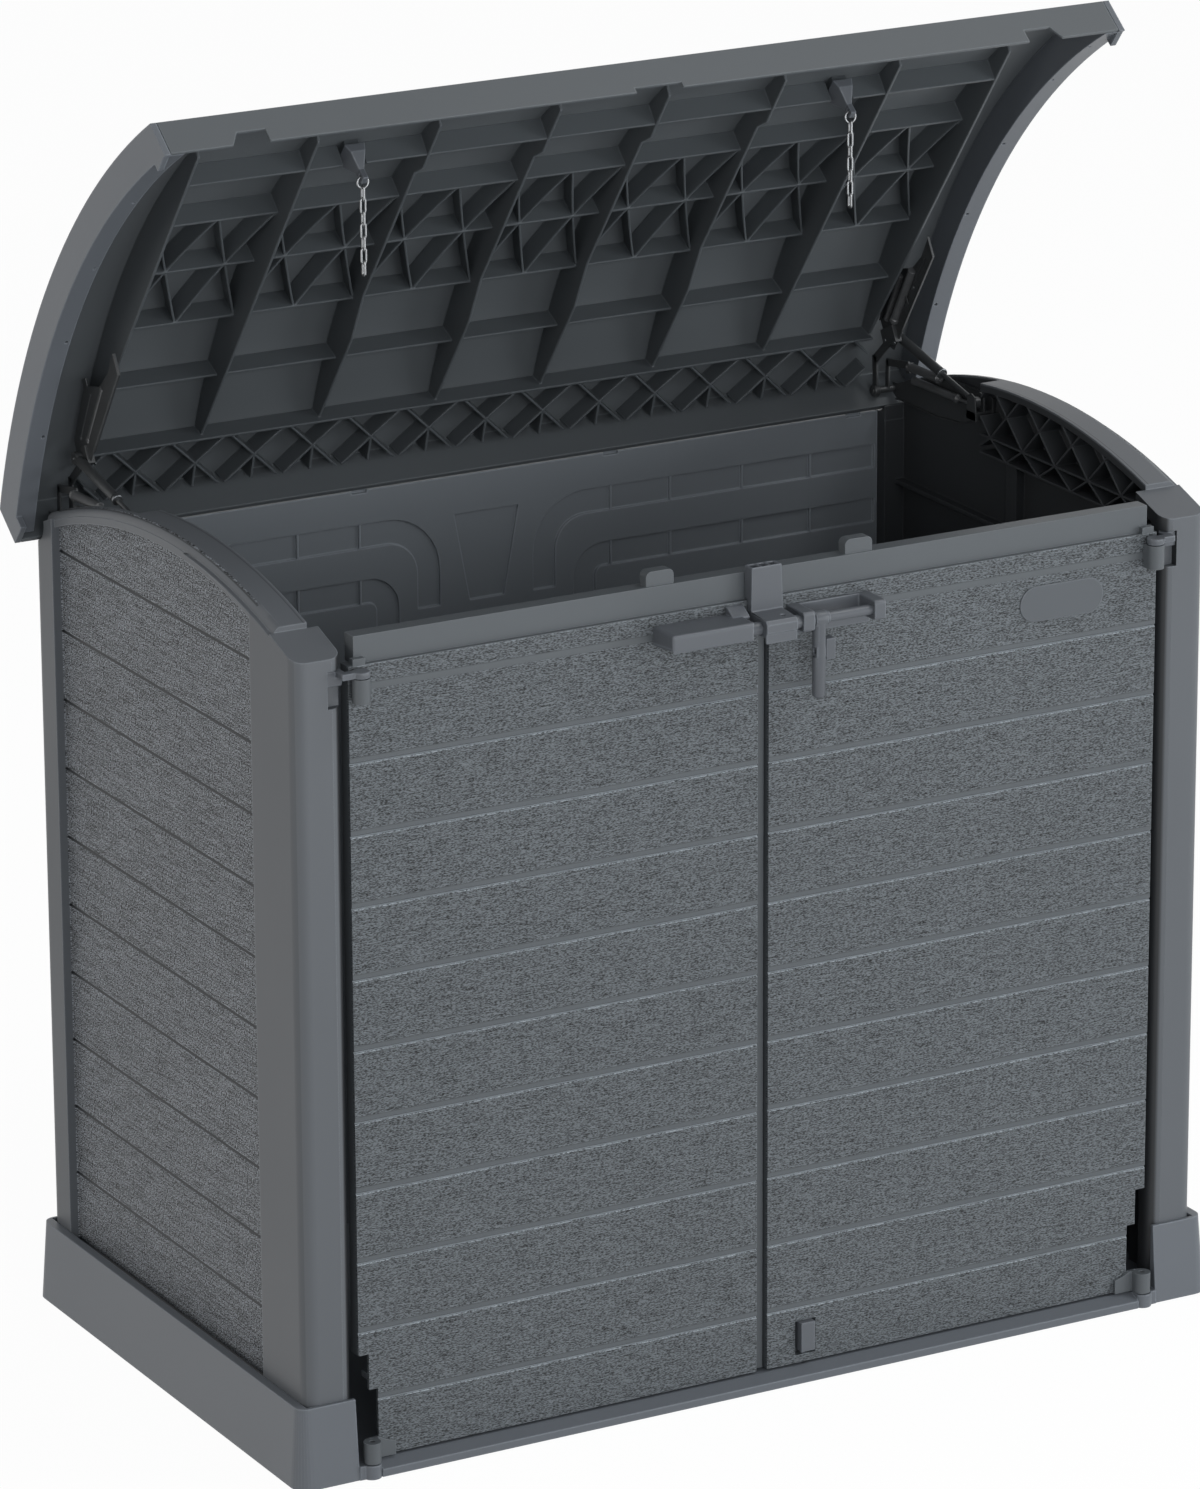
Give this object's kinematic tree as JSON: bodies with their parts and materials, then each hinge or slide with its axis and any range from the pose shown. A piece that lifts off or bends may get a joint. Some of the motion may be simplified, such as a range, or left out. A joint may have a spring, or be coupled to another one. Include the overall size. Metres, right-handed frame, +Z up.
{
  "type": "garden storage shed",
  "caption": "Low plastic garden store with planked walls, two front doors and an arched lid that lifts at the back on struts.",
  "frame": {"origin": "middle of the base on the ground, halfway across the width", "axes": "+X to the right seen from the front, +Y to the back, +Z up; front doors face -Y"},
  "size_m": [1.455, 0.8685, 1.7797],
  "materials": {
    "body": "smooth moulded grey, satin",
    "planks": "grey, embossed wood grain, matt",
    "inner": "dark grey moulded ribs, matt",
    "latch": "smooth moulded grey, satin",
    "steel": "near-black coated steel, satin",
    "wire": "zinc-plated wire"
  },
  "bodies": {
    "shed": {"base_tray": "body", "wall_left": "planks", "wall_right": "planks", "back_wall": "planks", "hinge_arm_left": "body", "hinge_arm_right": "body", "lower_pins": "steel", "wall_bracket_left": "steel", "wall_bracket_right": "steel"},
    "lid": {"lid_skin": "body", "lid_ribs": "inner", "lid_end_left": "body", "lid_end_right": "body", "catches": "inner", "cups": "body", "lid_bracket_left": "steel", "lid_bracket_right": "steel"},
    "left_door": {"door_left": "planks", "box_handle": "latch"},
    "right_door": {"door_right": "planks", "bolt_bracket": "latch", "tee_clip": "latch", "badge": "body"},
    "bolt": {"bolt_bar": "latch"},
    "tee": {"tee_handle": "latch"},
    "lock_hasp": {"hasp": "latch"},
    "drop_bolt": {"foot_bolt": "latch"},
    "left_chain": {"chain_left": "wire"},
    "right_chain": {"chain_right": "wire"},
    "left_tube": {"strut_tube_left": "steel"},
    "right_tube": {"strut_tube_right": "steel"},
    "left_rod": {"strut_rod_left": "steel"},
    "right_rod": {"strut_rod_right": "steel"}
  },
  "joints": [
    {"name": "lid_hinge", "type": "hinge", "parent": "shed", "child": "lid", "pos_m": [0, 0.388, 1.131], "axis": [1, 0, 0], "range_deg": [0, 51.7]},
    {"name": "left_door_hinge", "type": "hinge", "parent": "shed", "child": "left_door", "pos_m": [-0.6045, -0.4, 0.5], "axis": [0, 0, 1], "range_deg": [-110, 0]},
    {"name": "right_door_hinge", "type": "hinge", "parent": "shed", "child": "right_door", "pos_m": [0.6045, -0.4, 0.5], "axis": [0, 0, 1], "range_deg": [0, 110]},
    {"name": "bolt_slide", "type": "slide", "parent": "right_door", "child": "bolt", "axis": [1, 0, 0], "range_m": [0, 0.065]},
    {"name": "tee_turn", "type": "hinge", "parent": "bolt", "child": "tee", "pos_m": [0.064, -0.42, 1.09], "axis": [1, 0, 0], "range_deg": [-100, 0]},
    {"name": "hasp_flip", "type": "hinge", "parent": "right_door", "child": "lock_hasp", "pos_m": [-0.0035, -0.42, 1.09], "axis": [1, 0, 0], "range_deg": [0, 120]},
    {"name": "drop_bolt_slide", "type": "slide", "parent": "right_door", "child": "drop_bolt", "axis": [0, 0, 1], "range_m": [-0.0065, 0]},
    {"name": "left_chain_swing", "type": "hinge", "parent": "lid", "child": "left_chain", "pos_m": [-0.374, 0.0234, 1.6475], "axis": [1, 0, 0], "range_deg": [-51.7, 0]},
    {"name": "left_tube_turn", "type": "hinge", "parent": "lid", "child": "left_tube", "pos_m": [-0.648, 0.346, 1.222], "axis": [1, 0, 0], "range_deg": [-71.7, 0]},
    {"name": "left_rod_slide", "type": "slide", "parent": "left_tube", "child": "left_rod", "axis": [0, -0.975, -0.2221], "range_m": [-0.0609, 0]},
    {"name": "right_chain_swing", "type": "hinge", "parent": "lid", "child": "right_chain", "pos_m": [0.374, 0.0234, 1.6475], "axis": [1, 0, 0], "range_deg": [-51.7, 0]},
    {"name": "right_tube_turn", "type": "hinge", "parent": "lid", "child": "right_tube", "pos_m": [0.648, 0.346, 1.222], "axis": [1, 0, 0], "range_deg": [-71.7, 0]},
    {"name": "right_rod_slide", "type": "slide", "parent": "right_tube", "child": "right_rod", "axis": [0, -0.975, -0.2221], "range_m": [-0.0609, 0]}
  ],
  "couplings": [
    {"joint": "left_chain_swing", "follows": "lid_hinge", "ratio": -1},
    {"joint": "left_tube_turn", "follows": "lid_hinge", "ratio": -1.3767},
    {"joint": "left_rod_slide", "follows": "lid_hinge", "m_per_rad": -0.06636},
    {"joint": "right_chain_swing", "follows": "lid_hinge", "ratio": -1},
    {"joint": "right_tube_turn", "follows": "lid_hinge", "ratio": -1.3767},
    {"joint": "right_rod_slide", "follows": "lid_hinge", "m_per_rad": -0.06636}
  ]
}
